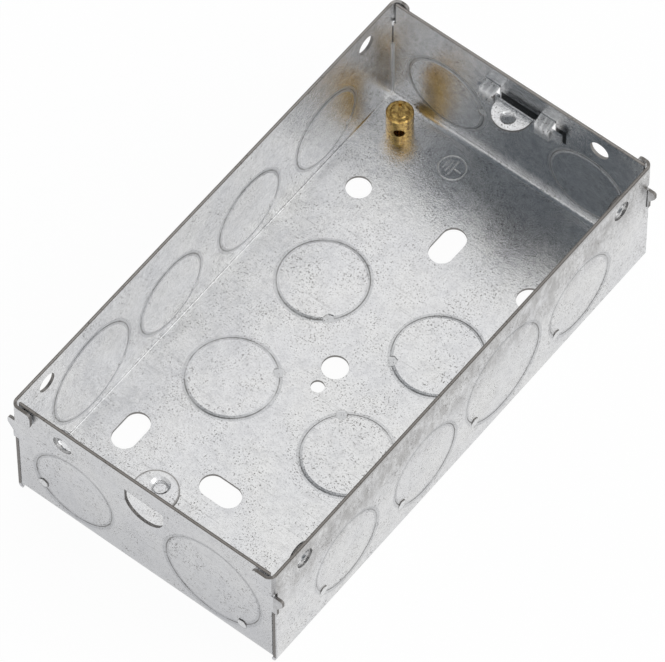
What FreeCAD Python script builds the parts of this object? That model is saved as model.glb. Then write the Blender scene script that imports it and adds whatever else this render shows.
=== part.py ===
# Two gang steel back box for flush wiring accessories: one folded sheet with conduit knockouts
# and a fixed faceplate lug, a sliding lug held under two lanced loops, and a brass earth terminal.
# Millimetres. The box lies on its back: +Z points out of the open front, +Y towards the sliding
# lug, and the origin is the middle of the back face.

import FreeCAD, Part
import Sketcher
import math
import os

doc = FreeCAD.newDocument("BackBox")

# Driving dimensions

SIZES = {
    # the folded sheet
    "box_length": 132.0,
    "box_width": 71.5,
    "box_depth": 35.5,
    "sheet": 0.75,
    "end_bend_radius": 1.8,
    "side_bend_radius": 0.3,
    "seam_gap": 0.2,
    # corner joints, with heights given as drops from the rim
    "ear_drop": 7.0,
    "near_ear_reach": 5.4,
    "far_ear_reach": 3.9,
    "ear_gap": 0.4,
    "ear_bend_radius": 1.2,
    "ear_tip_round": 1.2,
    "notch_drop": 15.1,
    "joint_clearance": 0.15,
    "tongue_drop": 8.4,
    "tongue_reach": 2.0,
    "tongue_shoulder": 0.5,
    "tongue_shoulder_height": 2.4,
    "tongue_slope_height": 2.2,
    "tongue_round": 0.7,
    # conduit knockouts
    "small_knockout_radius": 10.3,
    "large_knockout_radius": 12.7,
    "small_knockout_rise": 14.0,
    "large_knockout_rise": 16.4,
    "side_knockout_inner": 13.8,
    "side_knockout_outer": 41.2,
    "end_knockout_x": 19.8,
    "large_end_knockout_x": 18.6,
    "base_knockout_x": 16.1,
    "base_knockout_y": 16.2,
    "knockout_push": 0.2,
    "knockout_band": 0.85,
    "knockout_shear": 0.4,
    "bridge_radius": 1.4,
    # fixing holes in the base
    "fixing_x": 25.1,
    "fixing_y": 40.35,
    "fixing_width": 6.0,
    "fixing_slot_length": 10.4,
    "centre_hole_diameter": 6.2,
    "pilot_hole_diameter": 3.2,
    "pilot_hole_offset": 6.25,
    # fixing holes in the walls
    "wall_hole_diameter": 5.0,
    "wall_hole_drop": 5.2,
    "side_hole_inset": 10.3,
    "end_hole_inset": 13.35,
    # faceplate lugs, whose screw holes are 120.6 apart
    "lug_inset": 5.7,
    "lug_drop": 6.0,
    "lug_hole_diameter": 3.3,
    "lug_collar_wall": 0.85,
    "lug_collar_depth": 1.35,
    "fixed_lug_entry": 0.65,
    "lug_bend_radius": 0.6,
    "fixed_lug_width": 10.6,
    "fixed_lug_nose": 9.3,
    "sliding_lug_width": 9.4,
    "sliding_lug_nose": 6.85,
    "sliding_lug_x": 1.0,
    "sliding_lug_entry": 0.2,
    # slider strip and its loops
    "strip_length": 23.2,
    "strip_shift": 0.6,
    "strip_drop": 6.15,
    "strip_height": 3.3,
    "strip_wall_gap": 1.2,
    "strip_relief": 0.4,
    "strip_loop_gap": 0.1,
    "loop_width": 3.9,
    "loop_pair_x": 0.7,
    "loop_spread": 7.7,
    "loop_half_height": 2.1,
    "loop_splay": 1.1,
    "loop_leg": 0.6,
    # earth terminal
    "terminal_side_inset": 8.35,
    "terminal_end_inset": 7.8,
    "terminal_radius": 3.2,
    "terminal_height": 7.25,
    "terminal_edge": 0.35,
    "terminal_turn": 35.0,
    "spigot_radius": 1.75,
    "spigot_swage": 0.6,
    "spigot_clearance": 0.05,
    "wire_hole_radius": 1.3,
    "wire_hole_rise": 3.05,
    "screw_radius": 2.1,
    "screw_length": 3.4,
    "screw_proud": 0.3,
    "screw_clearance": 0.08,
    "screw_slot_width": 0.8,
    "screw_slot_depth": 0.9,
    "screw_edge": 0.25,
}

sheet_of_sizes = doc.addObject("Spreadsheet::Sheet", "Sizes")
for row, (alias, value) in enumerate(SIZES.items(), start=1):
    sheet_of_sizes.set("A%d" % row, alias)
    sheet_of_sizes.set("B%d" % row, str(value))
    sheet_of_sizes.setAlias("B%d" % row, alias)
doc.recompute()

# Lengths worked out from the driving dimensions, as expressions

HALF_WIDTH = "(Sizes.box_width / 2)"
HALF_LENGTH = "(Sizes.box_length / 2)"
SHEET = "Sizes.sheet"
DEPTH = "Sizes.box_depth"
END_CORE = f"({HALF_LENGTH} - {SHEET} - Sizes.end_bend_radius)"
SIDE_CORE = f"({HALF_WIDTH} - {SHEET} - Sizes.side_bend_radius)"
END_WALL_HALF = f"({HALF_WIDTH} - {SHEET} - Sizes.seam_gap)"
NOTCH_Y = f"({HALF_LENGTH} - {SHEET} - Sizes.seam_gap)"
EAR_OUTER_RADIUS = f"(Sizes.ear_bend_radius + {SHEET})"
EAR_FACE = f"({HALF_LENGTH} + Sizes.ear_gap + {SHEET})"
EAR_CENTRE_X = f"({HALF_WIDTH} - {EAR_OUTER_RADIUS})"
EAR_CENTRE_Y = f"({EAR_FACE} - {EAR_OUTER_RADIUS})"
END_TIP_CENTRE = f"({END_WALL_HALF} - {SHEET})"
EAR_BOTTOM = f"({DEPTH} - Sizes.ear_drop)"
NOTCH_BOTTOM = f"({DEPTH} - Sizes.notch_drop)"
LUG_Y = f"({HALF_LENGTH} - Sizes.lug_inset)"
LUG_TOP = f"({DEPTH} - Sizes.lug_drop)"
STRIP_TOP = f"({DEPTH} - Sizes.strip_drop)"
STRIP_BOTTOM = f"({STRIP_TOP} - Sizes.strip_height)"
STRIP_BACK = f"({HALF_LENGTH} - {SHEET} - Sizes.strip_wall_gap)"
LOOP_BACK = f"({STRIP_BACK} - {SHEET} - Sizes.strip_loop_gap)"
LOOP_FACE = f"({LOOP_BACK} - Sizes.loop_leg)"
LOOP_MIDDLE = f"({STRIP_TOP} - Sizes.strip_height / 2)"
TERMINAL_X = f"(Sizes.terminal_side_inset - {HALF_WIDTH})"
TERMINAL_Y = f"({HALF_LENGTH} - Sizes.terminal_end_inset)"
TERMINAL_TOP = f"({SHEET} + Sizes.terminal_height)"
WIRE_HOLE_RISE = f"({SHEET} + Sizes.wire_hole_rise)"

# How far a cutter reaches past the face it starts from

LIFT = "0.1"

# Directions in which a wall or the base faces outwards, as turns of a tool's own +Z

FACING = {
    "base": FreeCAD.Rotation(FreeCAD.Vector(1, 0, 0), 180),
    "near": FreeCAD.Rotation(FreeCAD.Vector(1, 0, 0), 90),
    "far": FreeCAD.Rotation(180, 0, 90),
    "right": FreeCAD.Rotation(90, 0, 90),
    "left": FreeCAD.Rotation(-90, 0, 90),
}

# The two ends of the box along Y

END_NAMES = {-1: "near", 1: "far"}

# Faces whose knockout discs stand proud inside; in the other walls they are level there

PROUD_INSIDE = ("base", "left", "far")


# Helpers

def minus(expression):
    return f"(-1 * {expression})"


def signed(sign, expression):
    return expression if sign > 0 else minus(expression)


def value_of(expression):
    return float(sheet_of_sizes.evalExpression(expression))


def bind(item, **expressions):
    for name, expression in expressions.items():
        item.setExpression(name, expression)


def place(item, at, rotation=FreeCAD.Rotation()):
    item.Placement = FreeCAD.Placement(FreeCAD.Vector(*[value_of(part) for part in at]), rotation)
    for axis, expression in zip("xyz", at):
        item.setExpression(f"Placement.Base.{axis}", expression)


def sketch_on(body, name, role, offset="0"):
    sketch = body.newObject("Sketcher::SketchObject", name)
    plane = next(item for item in body.Origin.OriginFeatures if item.Role == role)
    sketch.AttachmentSupport = [(plane, "")]
    sketch.MapMode = "FlatFace"
    sketch.setExpression("AttachmentOffset.Base.z", offset)
    return sketch


def locate(sketch, shape, point, x, y):
    for kind, expression in (("DistanceX", x), ("DistanceY", y)):
        index = sketch.addConstraint(
            Sketcher.Constraint(kind, -1, 1, shape, point, value_of(expression)))
        sketch.setExpression(f"Constraints[{index}]", expression)


def outline(sketch, corners):
    # Each corner is (x, y), or (x, y, (cx, cy, turn)) where an arc about (cx, cy) leads to the
    # next corner, turning left for +1 and right for -1.
    points = [FreeCAD.Vector(value_of(c[0]), value_of(c[1]), 0) for c in corners]
    up = FreeCAD.Vector(0, 0, 1)
    ends = []
    for number, corner in enumerate(corners):
        start = points[number]
        end = points[(number + 1) % len(points)]
        if len(corner) == 2:
            shape = sketch.addGeometry(Part.LineSegment(start, end))
            ends.append((shape, 1, 2))
            continue
        cx, cy, turn = corner[2]
        centre = FreeCAD.Vector(value_of(cx), value_of(cy), 0)
        first, last = (start, end) if turn > 0 else (end, start)
        angles = [math.atan2(p.y - centre.y, p.x - centre.x) for p in (first, last)]
        circle = Part.Circle(centre, up, start.distanceToPoint(centre))
        shape = sketch.addGeometry(Part.ArcOfCircle(circle, *angles))
        ends.append((shape, 1, 2) if turn > 0 else (shape, 2, 1))
        kind, expression = ("DistanceY", cy) if abs(end.x - start.x) > abs(end.y - start.y) \
            else ("DistanceX", cx)
        index = sketch.addConstraint(
            Sketcher.Constraint(kind, -1, 1, shape, 3, value_of(expression)))
        sketch.setExpression(f"Constraints[{index}]", expression)
    for number, corner in enumerate(corners):
        shape, start, _ = ends[number]
        before, _, last = ends[number - 1]
        sketch.addConstraint(Sketcher.Constraint("Coincident", before, last, shape, start))
        locate(sketch, shape, start, corner[0], corner[1])


def round_hole(sketch, x, y, radius):
    middle = FreeCAD.Vector(value_of(x), value_of(y), 0)
    shape = sketch.addGeometry(Part.Circle(middle, FreeCAD.Vector(0, 0, 1), value_of(radius)))
    locate(sketch, shape, 3, x, y)
    index = sketch.addConstraint(Sketcher.Constraint("Radius", shape, value_of(radius)))
    sketch.setExpression(f"Constraints[{index}]", radius)


def slot(sketch, x, y, length, width, along_y):
    # Two straight sides joined by half-round ends.
    run = f"({length} - {width}) / 2"
    half = f"{width} / 2"
    if along_y:
        corners = [
            (f"{x} + {half}", f"{y} - {run}"),
            (f"{x} + {half}", f"{y} + {run}", (x, f"{y} + {run}", 1)),
            (f"{x} - {half}", f"{y} + {run}"),
            (f"{x} - {half}", f"{y} - {run}", (x, f"{y} - {run}", 1)),
        ]
    else:
        corners = [
            (f"{x} - {run}", f"{y} - {half}"),
            (f"{x} + {run}", f"{y} - {half}", (f"{x} + {run}", y, 1)),
            (f"{x} + {run}", f"{y} + {half}"),
            (f"{x} - {run}", f"{y} + {half}", (f"{x} - {run}", y, 1)),
        ]
    outline(sketch, corners)


def extrude(body, kind, name, sketch, length, both_ways=True):
    feature = body.newObject(f"PartDesign::{kind}", name)
    feature.Profile = sketch
    if both_ways:
        feature.SideType = "Symmetric"
    feature.setExpression("Length", length)
    sketch.Visibility = False
    return feature


def solid(kind, name, at=None, **expressions):
    item = doc.addObject(f"Part::{kind}", name)
    bind(item, **expressions)
    if at:
        place(item, at)
    return item


def cut(name, base, tool):
    item = doc.addObject("Part::Cut", name)
    item.Base = base
    item.Tool = tool
    return item


def joined(name, items):
    item = doc.addObject("Part::MultiFuse", name)
    item.Shapes = items
    return item


def grouped(name, items):
    item = doc.addObject("Part::Compound", name)
    item.Links = items
    return item


# The folded sheet: base, two end walls and two side walls with their bends

def fold_flat_sheet(body):
    base = sketch_on(body, "base_outline", "XY_Plane")
    outline(base, [
        (minus(SIDE_CORE), minus(END_CORE)), (SIDE_CORE, minus(END_CORE)),
        (SIDE_CORE, END_CORE), (minus(SIDE_CORE), END_CORE)])
    extrude(body, "Pad", "base", base, SHEET, both_ways=False)

    ends = sketch_on(body, "end_wall_section", "YZ_Plane")
    wall_section(ends, HALF_LENGTH, END_CORE, "Sizes.end_bend_radius")
    extrude(body, "Pad", "end_walls", ends, f"2 * {END_WALL_HALF}")

    # Above the ears' lower edge the end walls stop short, with a rounded tip inside each wrap.
    tips = sketch_on(body, "end_wall_tips", "XY_Plane", f"({DEPTH} + {EAR_BOTTOM}) / 2")
    for side in (-1, 1):
        for end in (-1, 1):
            inner = signed(end, f"({HALF_LENGTH} - {SHEET})")
            outer = signed(end, HALF_LENGTH)
            clear_in = signed(end, f"({HALF_LENGTH} - 2 * {SHEET})")
            clear_out = signed(end, f"({HALF_LENGTH} + {SHEET})")
            near_x = signed(side, END_TIP_CENTRE)
            far_x = signed(side, HALF_WIDTH)
            middle = signed(end, f"({HALF_LENGTH} - {SHEET} / 2)")
            outline(tips, [
                (near_x, clear_in), (far_x, clear_in), (far_x, clear_out), (near_x, clear_out),
                (near_x, outer, (near_x, middle, -side * end)), (near_x, inner)])
    extrude(body, "Pocket", "end_wall_tip_cut", tips, "Sizes.ear_drop")

    sides = sketch_on(body, "side_wall_section", "XZ_Plane")
    wall_section(sides, HALF_WIDTH, SIDE_CORE, "Sizes.side_bend_radius")
    extrude(body, "Pad", "side_walls", sides, "Sizes.box_length")

    # The seams at the four corners run down to the base, past the ends' bends.
    seams = sketch_on(body, "corner_seams", "XY_Plane", f"{DEPTH} / 2")
    for side in (-1, 1):
        for end in (-1, 1):
            x_in = signed(side, END_WALL_HALF)
            x_out = signed(side, f"({HALF_WIDTH} - {SHEET})")
            y_in = signed(end, f"({END_CORE} - {SHEET})")
            y_out = signed(end, f"({HALF_LENGTH} + {SHEET})")
            outline(seams, [(x_in, y_in), (x_out, y_in), (x_out, y_out), (x_in, y_out)])
    extrude(body, "Pocket", "corner_seam_cut", seams, f"3 * {DEPTH}")


def wall_section(sketch, outer, core, radius):
    # A wall and its bend, seen along the fold, at both ends of the sheet.
    for side in (-1, 1):
        face = signed(side, outer)
        back = signed(side, f"({outer} - {SHEET})")
        foot = signed(side, core)
        rise = f"({radius} + {SHEET})"
        outline(sketch, [
            (foot, "0", (foot, rise, side)), (face, rise), (face, DEPTH), (back, DEPTH),
            (back, rise, (foot, rise, -side)), (foot, SHEET)])


# Corner joints: a tongue of the end wall through a notch, under an ear of the side wall

def join_corners(body):
    notches = sketch_on(body, "side_wall_notches", "XY_Plane", f"({DEPTH} + {NOTCH_BOTTOM}) / 2")
    for side in (-1, 1):
        for end in (-1, 1):
            x_in = signed(side, f"({HALF_WIDTH} - {SHEET} - Sizes.seam_gap / 2)")
            x_out = signed(side, f"({HALF_WIDTH} + {SHEET})")
            y_in = signed(end, NOTCH_Y)
            y_out = signed(end, f"({HALF_LENGTH} + {SHEET})")
            outline(notches, [(x_in, y_in), (x_out, y_in), (x_out, y_out), (x_in, y_out)])
    extrude(body, "Pocket", "side_wall_notch_cut", notches, "Sizes.notch_drop")

    ears = sketch_on(body, "ear_plan", "XY_Plane", EAR_BOTTOM)
    for side in (-1, 1):
        for end, name in END_NAMES.items():
            face = signed(side, HALF_WIDTH)
            back = signed(side, f"({HALF_WIDTH} - {SHEET})")
            root = signed(end, f"({NOTCH_Y} - {SHEET})")
            bend_x = signed(side, EAR_CENTRE_X)
            bend_y = signed(end, EAR_CENTRE_Y)
            tip = signed(side, f"({HALF_WIDTH} - Sizes.{name}_ear_reach)")
            outside = signed(end, EAR_FACE)
            inside = signed(end, f"({EAR_FACE} - {SHEET})")
            turn = side * end
            outline(ears, [
                (back, root), (face, root), (face, bend_y, (bend_x, bend_y, turn)),
                (bend_x, outside), (tip, outside), (tip, inside),
                (bend_x, inside, (bend_x, bend_y, -turn)), (back, bend_y)])
    extrude(body, "Pad", "ears", ears, "Sizes.ear_drop", both_ways=False)

    for end, name in END_NAMES.items():
        round_ears(body, end, name)
        push_out_tongues(body, end, name)


def round_ears(body, end, name):
    # An ear's lower edge sweeps up from the bend to its tip, and the tip's top corner is round.
    middle = signed(-end, f"({HALF_LENGTH} + Sizes.ear_gap + {SHEET} / 2)")
    rounds = sketch_on(body, f"{name}_ear_rounding", "XZ_Plane", middle)
    reach = f"Sizes.{name}_ear_reach"
    sweep = f"({reach} - {EAR_OUTER_RADIUS})"
    for side in (-1, 1):
        tip = signed(side, f"({HALF_WIDTH} - {reach})")
        beyond = signed(side, f"({HALF_WIDTH} - {reach} - {SHEET})")
        low = f"({EAR_BOTTOM} - {LIFT})"
        bend_x = signed(side, EAR_CENTRE_X)
        sweep_z = f"({EAR_BOTTOM} + {sweep})"
        outline(rounds, [
            (beyond, low), (bend_x, low), (bend_x, EAR_BOTTOM, (bend_x, sweep_z, -side)),
            (tip, sweep_z), (beyond, sweep_z)])
        shoulder_x = signed(side, f"({HALF_WIDTH} - {reach} + Sizes.ear_tip_round)")
        shoulder_z = f"({DEPTH} - Sizes.ear_tip_round)"
        high = f"({DEPTH} + {LIFT})"
        outline(rounds, [
            (beyond, shoulder_z), (tip, shoulder_z, (shoulder_x, shoulder_z, -side)),
            (shoulder_x, DEPTH), (shoulder_x, high), (beyond, high)])
    extrude(body, "Pocket", f"{name}_ear_rounding_cut", rounds, f"{SHEET} + Sizes.ear_gap")


def push_out_tongues(body, end, name):
    plane = signed(-end, f"({HALF_LENGTH} - {SHEET} / 2)")
    tongues = sketch_on(body, f"{name}_tongue_outline", "XZ_Plane", plane)
    top = f"({DEPTH} - Sizes.tongue_drop)"
    foot = f"({NOTCH_BOTTOM} + Sizes.joint_clearance)"
    slope = f"({foot} + Sizes.tongue_shoulder_height)"
    tip_foot = f"({slope} + Sizes.tongue_slope_height)"
    round_z = f"({top} - Sizes.tongue_round)"
    for side in (-1, 1):
        root = signed(side, f"({END_WALL_HALF} - {SHEET})")
        shoulder = signed(side, f"({HALF_WIDTH} + Sizes.tongue_shoulder)")
        tip = signed(side, f"({HALF_WIDTH} + Sizes.tongue_reach)")
        tip_in = signed(side, f"({HALF_WIDTH} + Sizes.tongue_reach - Sizes.tongue_round)")
        outline(tongues, [
            (root, foot), (shoulder, foot), (shoulder, slope), (tip, tip_foot),
            (tip, round_z, (tip_in, round_z, side)), (tip_in, top), (root, top)])
    extrude(body, "Pad", f"{name}_tongues", tongues, SHEET)


# The fixed lug, bent inwards from the near wall, and the flat that both lugs share

def fixed_lug(body):
    # The lug is lanced from the near wall and turned inwards, which leaves a D-shaped opening.
    opening = sketch_on(body, "lug_opening_outline", "XZ_Plane", f"{HALF_LENGTH} - {SHEET} / 2")
    half = "(Sizes.fixed_lug_width / 2)"
    top = f"({LUG_TOP} + Sizes.lug_bend_radius)"
    belly = f"({top} - Sizes.fixed_lug_nose + {SHEET} + {half})"
    outline(opening, [
        (minus(half), top), (minus(half), belly, ("0", belly, 1)), (half, belly), (half, top)])
    extrude(body, "Pocket", "lug_opening", opening, f"2 * {SHEET}")

    bend = sketch_on(body, "fixed_lug_bend_section", "YZ_Plane")
    face = minus(HALF_LENGTH)
    back = minus(f"({HALF_LENGTH} - {SHEET})")
    flat = minus(f"({HALF_LENGTH} - {SHEET} - Sizes.lug_bend_radius)")
    outline(bend, [
        (face, top, (flat, top, 1)), (flat, f"{LUG_TOP} - {SHEET}"),
        (flat, LUG_TOP, (flat, top, -1)), (back, top),
        (back, f"{top} + {SHEET}"), (face, f"{top} + {SHEET}")])
    extrude(body, "Pad", "fixed_lug_bend", bend, "Sizes.fixed_lug_width")
    tab_plan(body, "fixed_lug", "0", -1, f"({HALF_LENGTH} - {SHEET} - Sizes.lug_bend_radius)",
             f"({HALF_LENGTH} - Sizes.fixed_lug_nose)", half)


def tab_plan(body, name, x, end, root, nose, half):
    # The flat of a lug: straight sides from the root, and a half-round nose.
    flat_y = signed(end, root)
    nose_y = signed(end, f"({nose} + {half})")
    left = f"({x} - {half})"
    right = f"({x} + {half})"
    plan = sketch_on(body, f"{name}_plan", "XY_Plane", f"{LUG_TOP} - {SHEET} / 2")
    outline(plan, [
        (left, flat_y), (left, nose_y, (x, nose_y, end)), (right, nose_y), (right, flat_y)])
    extrude(body, "Pad", f"{name}_tab", plan, SHEET)


# Two bridges lanced from the far wall, which hold the slider's strip

def lance_loops(body):
    wall_back = f"({HALF_LENGTH} - {SHEET})"
    top = "Sizes.loop_half_height"
    foot = f"({top} + Sizes.loop_splay)"
    window = f"({foot} - Sizes.loop_leg)"
    bevel = "Sizes.loop_leg / 2"
    # Half of a loop's section, from the wall over its leg to the flat that the strip runs behind.
    outer_half = [(HALF_LENGTH, foot), (wall_back, foot), (f"({LOOP_FACE} + {bevel})", top),
                  (LOOP_FACE, f"({top} - {bevel})")]
    inner_half = [(HALF_LENGTH, window), (LOOP_BACK, f"({top} - {bevel})")]
    for side, name in ((-1, "left"), (1, "right")):
        middle = f"Sizes.loop_pair_x + {side} * Sizes.loop_spread"
        opening = sketch_on(body, f"{name}_loop_window_outline", "XZ_Plane",
                            minus(f"({HALF_LENGTH} - {SHEET} / 2)"))
        left = f"{middle} - Sizes.loop_width / 2"
        right = f"{middle} + Sizes.loop_width / 2"
        low = f"{LOOP_MIDDLE} - {window}"
        high = f"{LOOP_MIDDLE} + {window}"
        outline(opening, [(left, low), (right, low), (right, high), (left, high)])
        extrude(body, "Pocket", f"{name}_loop_window", opening, f"2 * {SHEET}")

        section = sketch_on(body, f"{name}_loop_section", "YZ_Plane", middle)
        above = [(y, f"{LOOP_MIDDLE} + {z}") for y, z in outer_half]
        below = [(y, f"{LOOP_MIDDLE} - {z}") for y, z in reversed(outer_half)]
        inside_low = [(y, f"{LOOP_MIDDLE} - {z}") for y, z in inner_half]
        inside_high = [(y, f"{LOOP_MIDDLE} + {z}") for y, z in reversed(inner_half)]
        outline(section, above + below + inside_low + inside_high)
        extrude(body, "Pad", f"{name}_loop", section, "Sizes.loop_width")


# Holes through the base: round fixing holes at two opposite corners, slots at the other places,
# a centre hole with its pilot hole, and the terminal's rivet hole

def pierce_base(body):
    holes = sketch_on(body, "base_hole_outlines", "XY_Plane")
    x = "Sizes.fixing_x"
    y = "Sizes.fixing_y"
    width = "Sizes.fixing_width"
    length = "Sizes.fixing_slot_length"
    round_hole(holes, "0", "0", "Sizes.centre_hole_diameter / 2")
    round_hole(holes, "0", minus("Sizes.pilot_hole_offset"), "Sizes.pilot_hole_diameter / 2")
    round_hole(holes, minus(x), y, f"{width} / 2")
    round_hole(holes, x, minus(y), f"{width} / 2")
    slot(holes, "0", y, length, width, along_y=True)
    slot(holes, minus(x), minus(y), length, width, along_y=True)
    slot(holes, "0", minus(y), length, width, along_y=False)
    slot(holes, x, y, length, width, along_y=False)
    round_hole(holes, TERMINAL_X, TERMINAL_Y, "Sizes.spigot_radius + Sizes.spigot_clearance")
    extrude(body, "Pocket", "base_holes", holes, f"3 * {SHEET}")


# Tools for the pressed features, made about their own +Z, which points out of the sheet

def knockout(name, facing, at, radius, bridge_turn):
    # A disc sheared nearly free and pressed back, not quite level: outside it lies a little below
    # the sheet within a rolled band, and inside it can stand as much proud, with a rolled edge.
    # One six-sided bridge is left whole across the band and holds the disc until it is knocked out.
    push = "Sizes.knockout_push"
    band = "Sizes.knockout_band"
    inner_radius = f"({radius} + Sizes.knockout_shear)"
    bridge = solid("Prism", f"{name}_bridge", (radius, "0", f"-2 * {SHEET}"),
                   Circumradius="Sizes.bridge_radius", Height=f"4 * {SHEET}")
    bands = [solid("Cone", f"{name}_recess", ("0", "0", minus(push)), Radius1=radius,
                   Radius2=f"{radius} + {band} * (1 + {LIFT} / {push})",
                   Height=f"{push} + {LIFT}")]
    if facing in PROUD_INSIDE:
        bands.append(solid("Cone", f"{name}_boss", ("0", "0", f"-1 * ({SHEET} + {push})"),
                           Radius1=f"{inner_radius} - {band}", Radius2=inner_radius, Height=push))
    turn = FreeCAD.Rotation(FreeCAD.Vector(0, 0, 1), bridge_turn)
    pressed = [cut(f"{band_cone.Name}_with_bridge", band_cone, bridge) for band_cone in bands]
    for item in pressed:
        place(item, at, FACING[facing].multiply(turn))
    return pressed


def side_knockouts():
    small = "Sizes.small_knockout_radius"
    large = "Sizes.large_knockout_radius"
    inner = "Sizes.side_knockout_inner"
    outer = "Sizes.side_knockout_outer"
    tools = []
    for facing, side, radii in (("left", -1, (large, small, small, small)),
                                ("right", 1, (small, small, large, small))):
        rows = (minus(outer), minus(inner), inner, outer)
        for number, (y, radius) in enumerate(zip(rows, radii), start=1):
            rise = "Sizes.large_knockout_rise" if radius == large else "Sizes.small_knockout_rise"
            at = (signed(side, HALF_WIDTH), y, rise)
            tools.append(knockout(f"{facing}_knockout_{number}", facing, at, radius, 218))
    return tools


def end_knockouts():
    small = "Sizes.small_knockout_radius"
    x = "Sizes.end_knockout_x"
    low = "Sizes.small_knockout_rise"
    near = minus(HALF_LENGTH)
    return [
        knockout("near_knockout_left", "near", (minus(x), near, low), small, 212),
        knockout("near_knockout_right", "near",
                 ("Sizes.large_end_knockout_x", near, "Sizes.large_knockout_rise"),
                 "Sizes.large_knockout_radius", -52),
        knockout("far_knockout_left", "far", (minus(x), HALF_LENGTH, low), small, 170),
        knockout("far_knockout_right", "far", (x, HALF_LENGTH, low), small, 170),
    ]


def base_knockouts():
    tools = []
    for side in (-1, 1):
        for end, name in END_NAMES.items():
            at = (signed(side, "Sizes.base_knockout_x"), signed(end, "Sizes.base_knockout_y"), "0")
            # The bridge of each faces the middle of the base.
            towards_middle = math.degrees(math.atan2(end, -side))
            hand = "left" if side < 0 else "right"
            tools.append(knockout(f"base_knockout_{name}_{hand}", "base", at,
                                  "Sizes.small_knockout_radius", towards_middle))
    return tools


def wall_hole(name, facing, at):
    tool = solid("Cylinder", name, Radius="Sizes.wall_hole_diameter / 2", Height=f"4 * {SHEET}")
    place(tool, at, FACING[facing])
    return tool


def plunged_thread(name, x, y, entry):
    # A lug's tapped hole: the sheet is drawn down into a collar, with a rounded-in entry on top.
    hole = "(Sizes.lug_hole_diameter / 2)"
    wall = "Sizes.lug_collar_wall"
    depth = f"({SHEET} + Sizes.lug_collar_depth)"
    collar = solid("Cone", f"{name}_collar", (x, y, f"{LUG_TOP} - {depth}"),
                   Radius1=f"{hole} + {wall}", Radius2=f"{hole} + 1.5 * {wall}",
                   Height=f"{depth} - {SHEET} / 2")
    bore = solid("Cylinder", f"{name}_bore", (x, y, f"{LUG_TOP} - {depth} - {SHEET}"),
                 Radius=hole, Height=f"{depth} + 2 * {SHEET}")
    mouth = solid("Cone", f"{name}_mouth", (x, y, f"{LUG_TOP} - {entry}"),
                  Radius1=hole, Radius2=f"{hole} + {entry} + {LIFT}", Height=f"{entry} + {LIFT}")
    return collar, joined(f"{name}_tool", [bore, mouth])


def wall_holes():
    rise = f"({DEPTH} - Sizes.wall_hole_drop)"
    end_x = f"({HALF_WIDTH} - Sizes.end_hole_inset)"
    side_y = f"({HALF_LENGTH} - Sizes.side_hole_inset)"
    inside_end = f"({HALF_LENGTH} - 2 * {SHEET})"
    inside_side = f"({HALF_WIDTH} - 2 * {SHEET})"
    holes = [
        wall_hole("near_wall_hole", "near", (minus(end_x), minus(inside_end), rise)),
        wall_hole("far_wall_hole", "far", (end_x, inside_end, rise)),
    ]
    for facing, side in (("left", -1), ("right", 1)):
        for end, name in END_NAMES.items():
            at = (signed(side, inside_side), signed(end, side_y), rise)
            holes.append(wall_hole(f"{facing}_wall_{name}_hole", facing, at))
    return holes


def box_body():
    blank = doc.addObject("PartDesign::Body", "folded_sheet")
    fold_flat_sheet(blank)
    join_corners(blank)
    fixed_lug(blank)
    lance_loops(blank)
    pierce_base(blank)
    doc.recompute()

    collar, thread = plunged_thread("fixed_lug_thread", "0", minus(LUG_Y), "Sizes.fixed_lug_entry")
    rivet_hole = "Sizes.spigot_radius + Sizes.spigot_clearance"
    rivet_seat = solid("Cone", "rivet_seat",
                       (TERMINAL_X, TERMINAL_Y, minus(LIFT)),
                       Radius1=f"{rivet_hole} + Sizes.spigot_swage + {LIFT}", Radius2=rivet_hole,
                       Height=f"Sizes.spigot_swage + {LIFT}")
    knockouts = side_knockouts() + end_knockouts() + base_knockouts()
    bosses = [boss for recess, *proud in knockouts for boss in proud]
    raised = joined("sheet_with_raised_features", [blank, collar] + bosses)
    tools = [thread, rivet_seat] + wall_holes() + [recess for recess, *proud in knockouts]
    return cut("box_body", raised, grouped("sunk_features", tools))


# The sliding lug: a strip behind the loops, with a tab bent inwards from its top edge

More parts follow.
